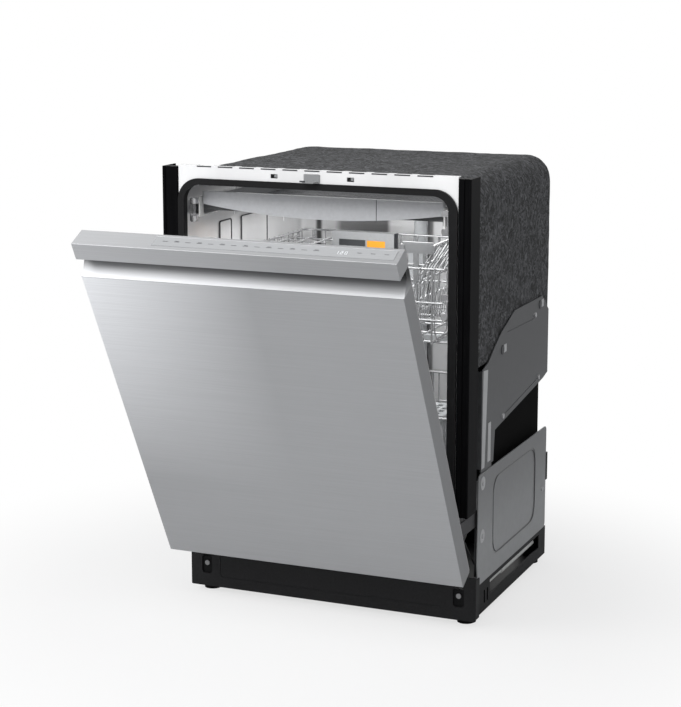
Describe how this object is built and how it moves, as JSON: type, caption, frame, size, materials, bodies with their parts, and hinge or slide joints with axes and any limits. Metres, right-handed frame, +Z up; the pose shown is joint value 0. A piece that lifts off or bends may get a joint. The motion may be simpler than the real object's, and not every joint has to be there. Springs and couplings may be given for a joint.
{
  "type": "dishwasher",
  "caption": "Built-in dishwasher, door ajar, with steel tub, pull-out racks, spray arms, pumps and levelling feet.",
  "frame": {"origin": "centre of the overall box at floor level, 109 mm behind the front face of the tub's flange", "axes": "+X to the machine's right seen from the front, -Y out of the front, +Z up"},
  "size_m": [0.614, 0.9122, 0.858],
  "materials": {
    "tub_steel": "satin",
    "door_steel": "satin",
    "galvanised": "satin",
    "light_sheet": "satin",
    "bright_metal": "gloss",
    "black_plastic": "matte",
    "dark_panel": "satin",
    "silver_plastic": "satin",
    "grey_plastic": "satin",
    "light_plastic": "satin",
    "gasket_rubber": "matte",
    "felt": "matte",
    "coated_wire": "satin"
  },
  "bodies": {
    "cabinet": {"tub": "tub_steel", "tub_gasket": "gasket_rubber", "sound_blanket": "felt", "side_pads": "black_plastic", "trim_strips": "black_plastic", "door_strike": "bright_metal", "base_pan": "black_plastic", "toe_panel": "black_plastic", "side_braces": "galvanised", "side_panels": "light_sheet", "hinge_brackets": "galvanised", "door_springs": "bright_metal", "sump": "grey_plastic", "wash_pump": "light_plastic", "drain_pump": "light_plastic", "inlet_valve": "light_plastic", "junction_box": "galvanised", "feed_tube": "grey_plastic", "filter_plate": "tub_steel", "rack_rails": "tub_steel", "screws": "bright_metal", "rear_foot_rods": "light_plastic"},
    "door": {"door_panel": "door_steel", "handle_pocket": "silver_plastic", "control_console": "silver_plastic", "touch_strip": "dark_panel", "control_board": "grey_plastic", "door_liner": "tub_steel", "door_insulation": "felt", "hinge_arms": "galvanised", "dispenser": "grey_plastic"},
    "detergent_door": {"detergent_lid": "grey_plastic"},
    "rinse_cap": {"rinse_aid_cap": "black_plastic"},
    "release_button": {"dispenser_button": "light_plastic"},
    "latch": {"door_latch": "bright_metal"},
    "third_tray": {"third_rack": "grey_plastic", "third_rack_front": "grey_plastic"},
    "third_middle_rails": {"third_slides": "tub_steel"},
    "upper_carriage": {"upper_runners": "grey_plastic"},
    "upper_middle_rails": {"upper_slides": "tub_steel"},
    "upper_basket": {"upper_rack": "coated_wire", "label_plate": "light_plastic", "upper_duct": "grey_plastic"},
    "left_shelf": {"cup_shelf_left": "coated_wire"},
    "right_shelf": {"cup_shelf_right": "coated_wire"},
    "upper_arm": {"upper_spray_arm": "grey_plastic"},
    "lower_basket": {"lower_rack": "coated_wire"},
    "tine_row": {"lower_tines": "coated_wire"},
    "front_wheels": {"wheels_front": "grey_plastic"},
    "rear_wheels": {"wheels_rear": "grey_plastic"},
    "cutlery_basket": {"silverware_basket": "grey_plastic"},
    "cutlery_lid": {"silverware_lid": "grey_plastic"},
    "lower_arm": {"lower_spray_arm": "grey_plastic"},
    "top_arm": {"top_spray_arm": "grey_plastic"},
    "filter": {"filter_cylinder": "grey_plastic"},
    "float_piece": {"float": "light_plastic"},
    "foot_fl": {"front_left_foot": "black_plastic"},
    "foot_fr": {"front_right_foot": "black_plastic"},
    "foot_rl": {"rear_left_foot": "black_plastic"},
    "foot_rr": {"rear_right_foot": "black_plastic"}
  },
  "joints": [
    {"name": "door_hinge", "type": "hinge", "parent": "cabinet", "child": "door", "pos_m": [0, -0.09636, 0.2035], "axis": [1, 0, 0], "range_deg": [-28, 62], "deforming": ["door_springs"]},
    {"name": "detergent_lid_hinge", "type": "hinge", "parent": "door", "child": "detergent_door", "pos_m": [0.022, -0.26616, 0.52434], "axis": [1, 0, 0], "range_deg": [0, 100]},
    {"name": "rinse_aid_cap_turn", "type": "hinge", "parent": "door", "child": "rinse_cap", "pos_m": [0.126, -0.25399, 0.4957], "axis": [0, -0.8829, -0.4695], "range_deg": [0, 90]},
    {"name": "dispenser_button_press", "type": "slide", "parent": "door", "child": "release_button", "axis": [0, -0.8829, -0.4695], "range_m": [0, 0.003], "stiffness_N_per_m": 150},
    {"name": "door_latch_turn", "type": "hinge", "parent": "door", "child": "latch", "pos_m": [0, -0.43584, 0.75464], "axis": [-1, 0, 0], "range_deg": [0, 20]},
    {"name": "third_rack_slide", "type": "slide", "parent": "cabinet", "child": "third_tray", "axis": [0, -1, 0], "range_m": [0, 0.315]},
    {"name": "third_slide_follow", "type": "slide", "parent": "cabinet", "child": "third_middle_rails", "axis": [0, -1, 0], "range_m": [0, 0.158]},
    {"name": "upper_rack_slide", "type": "slide", "parent": "cabinet", "child": "upper_carriage", "axis": [0, -1, 0], "range_m": [0, 0.21]},
    {"name": "upper_slide_follow", "type": "slide", "parent": "cabinet", "child": "upper_middle_rails", "axis": [0, -1, 0], "range_m": [0, 0.106]},
    {"name": "upper_rack_height", "type": "slide", "parent": "upper_carriage", "child": "upper_basket", "axis": [0, 0, 1], "range_m": [-0.04, 0]},
    {"name": "cup_shelf_left_fold", "type": "hinge", "parent": "upper_basket", "child": "left_shelf", "pos_m": [-0.2257, 0.22614, 0.67], "axis": [0, -1, 0], "range_deg": [0, 85]},
    {"name": "cup_shelf_right_fold", "type": "hinge", "parent": "upper_basket", "child": "right_shelf", "pos_m": [0.165, 0.09114, 0.646], "axis": [0, -1, 0], "range_deg": [0, 100]},
    {"name": "upper_spray_arm_spin", "type": "hinge", "parent": "upper_basket", "child": "upper_arm", "pos_m": [0, 0.17614, 0.5094], "axis": [0, 0, 1], "continuous": true},
    {"name": "lower_rack_slide", "type": "slide", "parent": "cabinet", "child": "lower_basket", "axis": [0, -1, 0], "range_m": [-0.0455, 0.0998]},
    {"name": "lower_tines_fold", "type": "hinge", "parent": "lower_basket", "child": "tine_row", "pos_m": [-0.1189, 0.15514, 0.2303], "axis": [0, -1, 0], "range_deg": [0, 75]},
    {"name": "front_wheels_turn", "type": "hinge", "parent": "lower_basket", "child": "front_wheels", "pos_m": [0, 0.05714, 0.218], "axis": [1, 0, 0], "range_deg": [-178, 390]},
    {"name": "rear_wheels_turn", "type": "hinge", "parent": "lower_basket", "child": "rear_wheels", "pos_m": [0, 0.29514, 0.218], "axis": [1, 0, 0], "range_deg": [-178, 390]},
    {"name": "silverware_basket_lift", "type": "slide", "parent": "lower_basket", "child": "cutlery_basket", "axis": [0, 0, -1], "range_m": [-0.08, 0]},
    {"name": "silverware_lid_hinge", "type": "hinge", "parent": "cutlery_basket", "child": "cutlery_lid", "pos_m": [0.186, 0.07114, 0.4008], "axis": [-1, 0, 0], "range_deg": [0, 85]},
    {"name": "lower_spray_arm_spin", "type": "hinge", "parent": "cabinet", "child": "lower_arm", "pos_m": [0, 0.17614, 0.209], "axis": [0, 0, 1], "continuous": true},
    {"name": "top_spray_arm_spin", "type": "hinge", "parent": "cabinet", "child": "top_arm", "pos_m": [0, 0.17614, 0.809], "axis": [0, 0, 1], "continuous": true},
    {"name": "filter_twist", "type": "hinge", "parent": "cabinet", "child": "filter", "pos_m": [0.085, 0.10614, 0.15], "axis": [0, 0, 1], "range_deg": [0, 90]},
    {"name": "float_rise", "type": "slide", "parent": "cabinet", "child": "float_piece", "axis": [0, 0, 1], "range_m": [0, 0.006]},
    {"name": "front_left_foot_level", "type": "slide", "parent": "cabinet", "child": "foot_fl", "axis": [0, 0, -1], "range_m": [0, 0.012]},
    {"name": "front_right_foot_level", "type": "slide", "parent": "cabinet", "child": "foot_fr", "axis": [0, 0, -1], "range_m": [0, 0.012]},
    {"name": "rear_left_foot_level", "type": "slide", "parent": "cabinet", "child": "foot_rl", "axis": [0, 0, -1], "range_m": [0, 0.012]},
    {"name": "rear_right_foot_level", "type": "slide", "parent": "cabinet", "child": "foot_rr", "axis": [0, 0, -1], "range_m": [0, 0.012]}
  ],
  "couplings": [
    {"joint": "lower_rack_slide", "follows": "door_hinge", "m_per_rad": 0.0917},
    {"joint": "front_wheels_turn", "follows": "door_hinge", "ratio": 6.2},
    {"joint": "rear_wheels_turn", "follows": "door_hinge", "ratio": 6.2},
    {"joint": "third_slide_follow", "follows": "third_rack_slide", "ratio": 0.5},
    {"joint": "upper_slide_follow", "follows": "upper_rack_slide", "ratio": 0.5}
  ]
}
